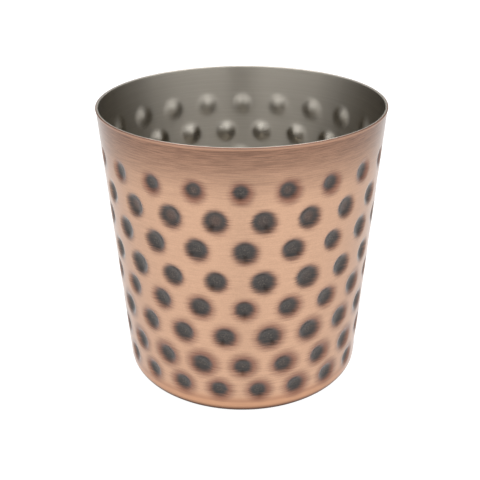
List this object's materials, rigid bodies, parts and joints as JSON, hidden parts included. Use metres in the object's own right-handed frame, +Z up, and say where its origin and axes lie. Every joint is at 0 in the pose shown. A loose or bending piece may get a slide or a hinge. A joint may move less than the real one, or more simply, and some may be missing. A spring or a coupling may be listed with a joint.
{
  "type": "hammered serving cup",
  "caption": "Round tapered serving cup with a dented wall, a copper jacket outside, a brushed steel liner inside and a plain open rim.",
  "frame": {"origin": "centre of the foot, on the surface that the cup stands on", "axes": "+Z up along the cup's axis, -Y towards the front"},
  "size_m": [0.0848, 0.0848, 0.085],
  "materials": {
    "brushed_liner": "brushed round the cup, satin",
    "antique_copper": "satin copper, brushed round the cup, darkened in the dents"
  },
  "bodies": {
    "root": {"steel_liner": "brushed_liner", "copper_jacket": "antique_copper"}
  },
  "joints": []
}
